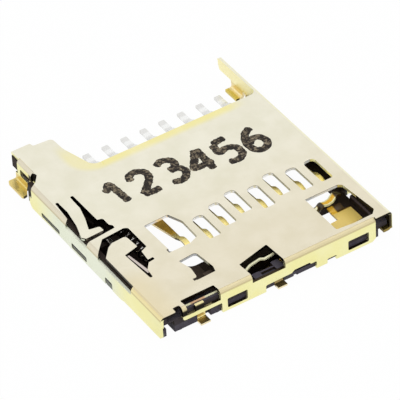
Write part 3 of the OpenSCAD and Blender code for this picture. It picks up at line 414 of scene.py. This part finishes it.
def paint_tongue_end(skin):
    """Sheared end of the tongue over the cam pin, painted pale as light on a face in shade, with a
    painted brown shade line along its upper edge. Gives its mask.
    """
    z = skin.z
    tongue_end = (skin.end.rises(*SQUARE_ON) * skin.x.rises(5.1, 5.2) * skin.y.within(0.2, 0.8, 0.05)
                  * z.within(1.1, PLATE_TOP - 0.06, 0.02))
    # Painted light on the tongue's end, which lies in shade
    skin.paint(tongue_end, srgb(255, 246, 228))
    # Painted shade: a brown line along its upper edge
    upper_edge_shade = tongue_end * z.rises(PLATE_TOP - 0.13, PLATE_TOP - 0.11)
    skin.paint(upper_edge_shade * 0.6, srgb(176, 146, 112))
    return tongue_end


def paint_details(skin):
    """Small faces: the ledges in the deep wall and its pale prong, the lock flap's finger, the end of
    the -X wall painted dark as shade, dark spots painted as the shade of the curls at the corners
    of two cuts, and the hook at -X painted olive as gold mirroring the dark moulding."""
    x, y, z = skin.x, skin.y, skin.z
    ledge = (y.rises(DEEP_WALL - 0.2, DEEP_WALL - 0.18) * z.falls(PLATE_TOP - 0.06, PLATE_TOP - 0.04)
             * skin.up.rises(0.95, 0.98))
    prong = x.rises(3.6, 3.7) * z.rises(0.8, 0.9)
    skin.paint(ledge, tint(prong, srgb(58, 46, 28), srgb(240, 226, 168)))
    finger = z.within(PLATE_TOP - 0.023, PLATE_TOP - 0.017, 0.001) * x.rises(4.8, 4.9) * y.rises(2.3, 2.5)
    skin.paint(finger, srgb(208, 196, 188))
    # Painted shade: the end of the -X wall dark olive
    wall_end = (x.falls(-6.3, -6.2) * y.rises(6.7, 7.0) * z.falls(PLATE_TOP - 0.2, PLATE_TOP - 0.14)
                * x.rises(0.01 - HALF_WIDTH, 0.04 - HALF_WIDTH))
    skin.paint(wall_end, srgb(70, 60, 34))
    # Painted shade: dark spots at two cut corners for the shade of their curls, which are not modelled
    curl_shade_spots = (x.within(3.54, 3.66, 0.03) * y.within(3.47, 3.69, 0.03)
             | x.within(3.6, 3.78, 0.03) * y.within(5.93, 6.06, 0.03))
    skin.paint(curl_shade_spots, srgb(52, 44, 34))
    # Painted reflection: the hook at -X olive, as gold mirroring the dark moulding
    hook = x.falls(-6.0, -5.9) * y.rises(6.6, 6.8) * z.falls(0.42, 0.52)
    skin.paint(hook, srgb(146, 126, 60))


def shell_metal():
    """Flash-plated sheet: beige satin flats, clear yellow walls, gold feet and sheared edges.
    Faces painted dark as shade are all metal, so that they keep dark in bright light, and pale ones are dull.
    The white faces of the contact windows mirror the studio."""
    skin = Skin("flash_plated_sheet", 700.0, 11000.0, 0.003, Metallic=0.85, Roughness=0.36)
    skin.colour = folded_sheet(skin)
    paint_feet(skin)
    dark, white, dull = paint_cuts(skin)
    tongue_end = paint_tongue_end(skin)
    paint_details(skin)
    satin = skin.cloud.rises(0.0, 1.0, ends=(0.30, 0.42))
    mirror = white * skin.x.rises(-3.75, -3.7) * skin.y.falls(*CARD_WINDOW_Y)
    metal = blend(mirror, blend(dull | tongue_end, 0.85, 0.1), 0.7)
    return skin.done(Roughness=blend(white, satin, 0.35), Metallic=blend(dark, metal, 1.0))


def gold(name, light, dark):
    """Gold flash on a stamped contact, light on the flats and deeper in clouds."""
    skin = Skin(name, 1500.0, 9000.0, 0.003, Metallic=0.75, Roughness=0.27)
    skin.colour = tint(skin.cloud, light, dark)
    return skin


def contact_metal():
    """Gold arm and buried strip, with the solder tail and its bend tinned. The sprung arm is painted
    deeper than its crown, as shade from mirroring the dark underside of the cover, and the sheared
    side of the contact in the widest window carries a painted pale highlight."""
    skin = gold("gold_flash_tinned_tail", srgb(246, 232, 160), srgb(238, 216, 130))
    # Painted shade: the sprung arms deeper than their crowns
    arm = skin.z.falls(0.78, 0.86) * skin.y.rises(TAIL_END, TAIL_END + 0.2)
    in_widest = skin.x.rises(1.7, 1.8)
    skin.paint(arm, tint(in_widest, srgb(176, 158, 92), srgb(255, 202, 66)))
    # Painted highlight on the sheared sides in the widest window
    skin.paint(skin.side.rises(*SQUARE_ON) * in_widest * 0.7, srgb(252, 244, 205))
    tail = skin.y.falls(TAIL_END - 0.15, TAIL_END)
    tinned = tint(skin.y.within(-5.75, -5.6, 0.15), srgb(230, 229, 226), srgb(246, 246, 244))
    skin.paint(tail, tinned)
    return skin.done()


def along(x, y, degrees):
    """Coordinate in mm along a line through the origin at an angle from +X: x cos a + y sin a."""
    angle = math.radians(degrees)
    return (x * math.cos(angle)).combine("ADD", y * math.sin(angle))


def switch_metal():
    """Gold flash, clear on the switch's plate. Its finger is orange. On the paddle light and shade
    are painted: an orange reflection in its middle, pale highlights on its rims and dark shade at
    its ends. The tall blade carries a painted highlight along its top edge only, with its flanks
    painted dark as shade, and the tabs are brown with pale sheared edges."""
    skin = gold("gold_flash_switch", srgb(248, 224, 140), srgb(243, 212, 118))
    x, y, z, up = skin.x, skin.y, skin.z, skin.up
    blade = x.rises(*BLADE_FROM_X)
    # Painted highlight along the blade's top edge
    crest = blade * z.rises(1.06, 1.07)
    skin.paint(crest, tint(x.within(3.9, 4.6, 0.1), srgb(252, 247, 206), srgb(236, 192, 150)))
    # Painted shade on the blade's flanks
    flank = blade * up.falls(0.1, 0.4) * z.within(0.5, 1.05, 0.02)
    skin.paint(flank, srgb(40, 29, 16))
    tab = y.rises(6.85, 6.95) * z.falls(0.4, 0.46)
    skin.paint(tab * 0.7, srgb(240, 222, 158))
    brown = tab * x.falls(0.6, 0.8) | tab * up.rises(0.5, 0.8) * y.rises(7.1, 7.2)
    skin.paint(brown * 0.75, srgb(104, 76, 30))
    tab_end = tab * up.falls(0.1, 0.3) * y.rises(7.3, 7.36)
    skin.paint(tab_end, srgb(246, 232, 192))
    plate = x.falls(*BLADE_FROM_X)
    skin.paint(plate, srgb(255, 222, 122))
    # Painted light and shade on the paddle: pale highlights on its rims, an orange reflection in its middle
    # and dark shade at its ends
    paddle = plate * z.rises(0.66, 0.7)
    skin.paint(paddle, srgb(255, 251, 196))
    centre = paddle * along(x, y, 90 + PADDLE_TURN).within(*PADDLE_CORE, 0.04)
    skin.paint(centre, srgb(255, 200, 66))
    ends = paddle * (x.rises(-4.4, -4.32) | x.falls(-5.2, -5.12))
    skin.paint(ends, srgb(56, 42, 14))
    finger = plate * y.falls(4.98, 5.04) * z.falls(0.62, 0.66)
    skin.paint(finger, srgb(255, 202, 62))
    finger_tip = finger * x.falls(-5.04, -4.94)
    skin.paint(finger_tip, srgb(78, 56, 26))
    return skin.done(Metallic=blend(crest | plate, 0.75, 0.05))


def moulding(name, dark, light):
    """Glass-filled black moulding, matt with a fine eroded grain, with light and shade painted on it:
    dark is its painted colour in the shadow under the cover and light its painted colour on the
    faces seen past the cover's edges: beside the side walls, behind and below the deep wall, and the
    tops of the posts there. Under the card window it is painted browner as light reaching in, the
    lugs in the side slots are painted pale as lit faces under a painted shadow, and the rail's
    chamfer carries a painted highlight."""
    skin = Skin(name, 2600.0, 14000.0, 0.004, Metallic=0.0, Roughness=0.65, Specular_IOR_Level=0.15)
    x, y, z, up = skin.x, skin.y, skin.z, skin.up
    beside = x.combine("ABSOLUTE").rises(6.22, 6.3) * z.falls(1.02, 1.06)
    behind = y.rises(DEEP_WALL - 0.2, DEEP_WALL - 0.17) * up.falls(0.4, 0.6)
    below = z.falls(0.4, 0.44) * y.rises(6.5, 6.9)
    posts = y.rises(6.4, 6.6) * up.rises(0.6, 0.8)
    # Painted light and shade: the seen faces lit, the rest dark as shade under the cover
    seen = beside | behind * 0.35 | posts | below
    skin.colour = tint(seen, dark, light)
    # Painted light on the lugs' faces, and a painted shadow over them
    lug = beside * z.falls(0.24, 0.3)
    skin.paint(lug, srgb(132, 136, 122))
    shadow_over_lug = beside * x.rises(0.0, 1.0) * y.falls(5.0, 5.2) * z.rises(0.3, 0.33)
    skin.paint(shadow_over_lug, srgb(34, 32, 28))
    # Painted highlight on the rail's chamfer
    chamfer = up.within(0.55, 0.85, 0.08) * x.falls(-5.3, -5.2)
    skin.paint(chamfer * 0.35, srgb(120, 104, 106))
    # Painted light under the card window
    in_card_window = x.within(2.5, 4.3, 0.05) * y.within(4.2, 6.3, 0.05)
    skin.paint(in_card_window * 0.5, srgb(104, 90, 78))
    skin.paint(seen * skin.cloud * 0.3, srgb(104, 100, 106))
    return skin.done()


def wire_metal():
    """Drawn spring wire: steel painted dark as it mirrors the dark under the cover, with a painted
    highlight along the crest of each turn that is fainter on the cam pin."""
    skin = Skin("drawn_wire", 3000.0, 12000.0, 0.002, Metallic=1.0, Roughness=0.22)
    # Painted shade: the wire dark as it mirrors the dark under the cover
    skin.colour = tint(skin.cloud, srgb(62, 58, 56), srgb(84, 80, 78))
    # Painted highlight along the crest of each turn, fainter on the cam pin
    crest = skin.end.falls(0.12, 0.34)
    on_pin = skin.x.rises(4.9, 5.0)
    skin.paint(crest * blend(on_pin, 1.0, 0.3), srgb(228, 226, 222))
    return skin.done()


def ink():
    """Brushed marking ink: near black brown at the stroke's edges, and rubbed paler in streaks
    and specks along its middle."""
    skin = Skin("marking_ink", 1400.0, 5200.0, 0.008, Metallic=0.0, Roughness=0.62, Specular_IOR_Level=0.25)
    middle = skin.z.rises(PLATE_TOP + 0.55 * INK_FILM, PLATE_TOP + 0.95 * INK_FILM)
    streak = middle * skin.grain.rises(0.48, 0.6)
    skin.colour = tint(streak * 0.8, srgb(30, 23, 16), srgb(132, 118, 96))
    speck = skin.cloud.rises(0.35, 0.9) * skin.grain.rises(0.54, 0.66)
    skin.paint(speck, srgb(160, 146, 122))
    return skin.done()


# Ink digits: each is one or two brush strokes along smooth paths in a box one unit wide and
# tall, x to the right and y up as read

DIGITS = {
    "1": [[(0.12, 0.74), (0.36, 0.82), (0.52, 0.97), (0.60, 0.84), (0.62, 0.42), (0.62, 0.04)]],
    "2": [[(0.06, 0.70), (0.16, 0.92), (0.50, 1.0), (0.86, 0.86), (0.86, 0.60), (0.50, 0.30), (0.12, 0.05)],
          [(0.12, 0.05), (0.5, 0.03), (0.98, 0.06)]],
    "3": [[(0.10, 0.90), (0.50, 1.0), (0.88, 0.84), (0.78, 0.60), (0.40, 0.53)],
          [(0.40, 0.53), (0.86, 0.46), (0.96, 0.22), (0.58, 0.0), (0.08, 0.08)]],
    "4": [[(0.66, 1.0), (0.36, 0.66), (0.04, 0.32), (0.5, 0.30), (1.0, 0.32)],
          [(0.72, 1.0), (0.73, 0.5), (0.74, 0.0)]],
    "5": [[(0.92, 0.97), (0.56, 0.98), (0.22, 0.96)],
          [(0.22, 0.96), (0.14, 0.56), (0.50, 0.60), (0.90, 0.46), (0.88, 0.14), (0.50, 0.0), (0.06, 0.08)]],
    "6": [[(0.84, 0.98), (0.40, 0.80), (0.12, 0.44), (0.22, 0.08), (0.60, 0.0), (0.92, 0.18), (0.84, 0.46),
           (0.50, 0.54), (0.18, 0.36)]],
}


def smooth_path(points, count):
    """Uniform Catmull-Rom curve through the points: each span is the cubic whose end slopes are
    half the chord between its neighbours. Resampled to count points evenly along its length."""
    p = np.asarray(points, float)
    p = np.vstack([2 * p[0] - p[1], p, 2 * p[-1] - p[-2]])
    t = np.linspace(0, 1, SPAN_STEPS)[:, None]
    spans = []
    for i in range(1, len(p) - 2):
        a, b, c, d = p[i - 1], p[i], p[i + 1], p[i + 2]
        spans.append(0.5 * (2 * b + (c - a) * t + (2 * a - 5 * b + 4 * c - d) * t ** 2
                            + (3 * b - a - 3 * c + d) * t ** 3))
    curve = np.vstack(spans)
    run = np.concatenate([[0], np.cumsum(np.linalg.norm(np.diff(curve, axis=0), axis=1))])
    even = np.linspace(0, run[-1], count)
    return np.column_stack([np.interp(even, run, curve[:, k]) for k in (0, 1)]), run[-1]


def ragged(s, seed):
    """Uneven brush edge: four sines of unrelated wavelengths summed, about -1 to 1."""
    waves = np.array([0.43, 0.19, 0.11, 0.067])
    heights = np.array([0.35, 0.30, 0.22, 0.13])
    phase = seed * np.array([1.7, 4.1, 2.9, 5.3])
    return (heights * np.sin(2 * np.pi * s[:, None] / waves + phase)).sum(axis=1)


def brush_stroke(points, seed):
    """One stroke as a closed flat blob: a grid along the path and round its section. The section
    is a low dome, x = w cos a and z = film * sqrt(sin a), on a flat underside sunk into the
    plate. The half width w is the brush's, rounded off at both ends, with a ragged edge."""
    path, length = smooth_path(np.asarray(points) * (DIGIT_WIDE, DIGIT_TALL), STROKE_STEPS)
    s = np.linspace(0, length, len(path))
    ahead = np.gradient(path, axis=0)
    ahead /= np.linalg.norm(ahead, axis=1)[:, None]
    across = np.column_stack([-ahead[:, 1], ahead[:, 0]])
    radius = BRUSH / 2
    end = np.minimum(s, length - s)
    rounded = np.sqrt(np.clip(1 - (1 - np.minimum(end / (BRUSH_END * radius), 1)) ** 2, 0, 1))
    left = radius * rounded * (1 + BRUSH_RAGGED * ragged(s, seed))
    right = radius * rounded * (1 + BRUSH_RAGGED * ragged(s, seed + EDGE_SEED))
    angle = np.linspace(0, 2 * np.pi, STROKE_SIDES, endpoint=False)
    cosine, sine = np.cos(angle), np.sin(angle)
    half = np.where(cosine > 0, left[:, None], right[:, None])
    reach = half * cosine
    flat = path[:, None, :] + across[:, None, :] * reach[:, :, None]
    film = INK_FILM * (FILM_AT_END + (1 - FILM_AT_END) * rounded[:, None])
    dome = np.where(sine > 0, np.sqrt(np.clip(sine, 0, 1)), -FILM_UNDER)
    return np.dstack([flat, dome * film])


def closed_tube(rings):
    """Faces of a grid of rings that is closed round each ring and capped at both ends."""
    n, m = rings.shape[:2]
    i, j = np.meshgrid(np.arange(n - 1), np.arange(m), indexing="ij")
    k = (j + 1) % m
    quads = np.stack([i * m + j, i * m + k, (i + 1) * m + k, (i + 1) * m + j], axis=-1).reshape(-1, 4)
    faces = quads.tolist()
    faces.append(list(range(m - 1, -1, -1)))
    faces.append(list(range((n - 1) * m, n * m)))
    return faces


def add_solid(name, points, faces, material):
    """Smooth object from a closed mesh with its points in mm, that rides with the socket. Its
    faces are turned to the outside."""
    mesh = bpy.data.meshes.new(name)
    mesh.from_pydata((points * MM).tolist(), [], faces)
    mesh.update()
    solid = bpy.data.objects.new(name, mesh)
    bpy.context.scene.collection.objects.link(solid)
    edit = bmesh.new()
    edit.from_mesh(mesh)
    bmesh.ops.recalc_face_normals(edit, faces=edit.faces)
    edit.to_mesh(mesh)
    edit.free()
    mesh.materials.append(material)
    mesh.shade_smooth()
    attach(solid, "socket")
    return solid


def ink_digit(name, digit, centre, lean, seed, material):
    """A digit's strokes, turned half round so that it reads towards -X, and set on the plate.
    Its second stroke lies a little higher, where it laps over the first."""
    points, faces = [], []
    turn = math.pi + math.radians(lean)
    spin = np.array([[math.cos(turn), -math.sin(turn)], [math.sin(turn), math.cos(turn)]])
    for number, stroke in enumerate(DIGITS[digit]):
        rings = brush_stroke(stroke, seed + STROKE_SEED * number)
        start = sum(len(p) for p in points)
        faces += [[start + v for v in face] for face in closed_tube(rings)]
        flat = rings.reshape(-1, 3)
        flat[:, :2] = (flat[:, :2] - (DIGIT_WIDE / 2, DIGIT_TALL / 2)) @ spin.T + centre
        flat[:, 2] += PLATE_TOP + STROKE_LAP * number
        points.append(flat)
    add_solid(name, np.vstack(points), faces, material)


def return_spring(material):
    """The wire coil between the slider and the deep block: a circle of the wire's radius carried
    along a helix, whose centre line is (r cos a, pitch * a / turn, r sin a). It stands for the
    packed coil."""
    low, high = (np.array(corner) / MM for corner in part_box("eject_spring"))
    radius = (high[0] - low[0] - SPRING_WIRE) / 2
    centre = (low + high) / 2
    run = high[1] - low[1] - SPRING_WIRE
    turns = math.floor(run / SPRING_PITCH)
    angle = np.linspace(0, 2 * np.pi * turns, SPRING_STEPS * turns + 1)[:, None]
    round_wire = np.linspace(0, 2 * np.pi, WIRE_SIDES, endpoint=False)[None, :]
    reach = radius + SPRING_WIRE / 2 * np.cos(round_wire)
    ahead = low[1] + SPRING_WIRE / 2 + run * angle / angle[-1]
    rings = np.dstack([centre[0] + reach * np.cos(angle), ahead + SPRING_WIRE / 2 * np.sin(round_wire),
                       centre[2] + reach * np.sin(angle)])
    spring = add_solid("return_spring", rings.reshape(-1, 3), closed_tube(rings), material)
    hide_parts("eject_spring")
    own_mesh(spring)


# Stage

def shown_white(tree, output, plain, shown, amount):
    """Mixes two shaders: what lights the scene, and by an amount what a ray from the camera, a
    mirror or through glass sees instead."""
    path = put(tree, "ShaderNodeLightPath")
    camera, glossy, through = (Value(tree, path.outputs[f"Is {kind} Ray"])
                               for kind in ("Camera", "Glossy", "Transmission"))
    mix = put(tree, "ShaderNodeMixShader")
    feed((camera | glossy | through) * amount, mix.inputs[0])
    join(tree, plain, 0, mix, 1)
    join(tree, shown, 0, mix, 2)
    join(tree, mix, 0, put(tree, output), "Surface")


def floor_paper():
    """White paper that a camera or a mirror sees as white, with the object's soft shadow."""
    material = bpy.data.materials.new("floor_paper")
    material.use_nodes = True
    tree = material.node_tree
    tree.nodes.clear()
    paper = put(tree, "ShaderNodeBsdfDiffuse", Color=(PAPER_GREY, PAPER_GREY, PAPER_GREY, 1.0))
    glow = put(tree, "ShaderNodeEmission", Color=(1.0, 1.0, 1.0, 1.0), Strength=1.0)
    shown_white(tree, "ShaderNodeOutputMaterial", paper, glow, PAPER_GLOW)
    return material


def add_floor():
    """Large plain sheet under the connector."""
    half = FLOOR_HALF * MM
    corners = [(-half, -half, 0), (half, -half, 0), (half, half, 0), (-half, half, 0)]
    mesh = bpy.data.meshes.new("floor")
    mesh.from_pydata(corners, [], [(0, 1, 2, 3)])
    mesh.materials.append(floor_paper())
    floor = bpy.data.objects.new("floor", mesh)
    bpy.context.scene.collection.objects.link(floor)
    floor.location.z = -FLOOR_DROP * MM


def add_world():
    """Even studio light, which the camera and mirrors see as white."""
    world = bpy.data.worlds.new("studio")
    bpy.context.scene.world = world
    world.use_nodes = True
    tree = world.node_tree
    tree.nodes.clear()
    light = put(tree, "ShaderNodeBackground", Color=(0.96, 0.98, 1.0, 1.0), Strength=WORLD_STRENGTH)
    white = put(tree, "ShaderNodeBackground", Color=(1.0, 1.0, 1.0, 1.0), Strength=1.0)
    shown_white(tree, "ShaderNodeOutputWorld", light, white, 1.0)


def add_lamp(name, place, power):
    """Square soft lamp at a place in mm that looks at the connector."""
    data = bpy.data.lights.new(name, "AREA")
    data.shape = "SQUARE"
    data.size = LAMP_SIDE * MM
    data.energy = power
    lamp = bpy.data.objects.new(name, data)
    bpy.context.scene.collection.objects.link(lamp)
    lamp.location = Vector(place) * MM
    lamp.rotation_euler = (-lamp.location).to_track_quat("-Z", "Y").to_euler()


def add_camera():
    """Long lens at the fitted angle: it looks along forward, and its right and up are turned by
    the roll about that line."""
    a, e, r = (math.radians(v) for v in (AZIMUTH, ELEVATION, ROLL))
    forward = Vector((-math.sin(a) * math.cos(e), math.cos(a) * math.cos(e), -math.sin(e)))
    level = Vector((math.cos(a), math.sin(a), 0))
    rise = level.cross(forward)
    right = math.cos(r) * level + math.sin(r) * rise
    up = math.cos(r) * rise - math.sin(r) * level
    place = Vector(AIM) - DISTANCE * forward - AIM_RIGHT * right - AIM_UP * up
    data = bpy.data.cameras.new("camera")
    data.lens = LENS
    data.sensor_width = SENSOR
    data.clip_start = 1 * MM
    data.clip_end = 10
    camera = bpy.data.objects.new("camera", data)
    bpy.context.scene.collection.objects.link(camera)
    camera.matrix_world = Matrix.Translation(place * MM) @ Matrix((right, up, -forward)).transposed().to_4x4()
    bpy.context.scene.camera = camera


# The connector

def finish_nodes():
    """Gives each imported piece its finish, and draws the return spring with round wire."""
    contact = contact_metal()
    switch = switch_metal()
    wire = wire_metal()
    finishes = {"shell": shell_metal(),
                # Each moulding's two colours are its painted shade under the cover and its painted light past
                # the cover's edges
                "housing": moulding("black_moulding", srgb(46, 36, 30), srgb(70, 65, 74)),
                "eject_slider": moulding("slider_moulding", srgb(40, 32, 27), srgb(40, 37, 40)),
                "switch_fixed_contact": switch, "switch_moving_contact": switch,
                "cam_pin": wire, "eject_spring": wire}
    for name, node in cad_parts.items():
        node.data.materials.clear()
        node.data.materials.append(finishes.get(name, contact))
    return_spring(wire)


def print_digits():
    """Plain counting digits in a row on the cover, each with its own lean and ragged edge."""
    black = ink()
    for k, (centre, lean) in enumerate(zip(DIGIT_PLACES, DIGIT_LEANS)):
        ink_digit(f"ink_digit_{k + 1}", str(k + 1), centre, lean, DIGIT_SEED * k + 1, black)


add_camera()
add_world()
for lamp_name, (lamp_place, lamp_power) in LAMPS.items():
    add_lamp(lamp_name, lamp_place, lamp_power)
add_floor()
finish_nodes()
print_digits()
bpy.context.scene.view_settings.view_transform = "Standard"
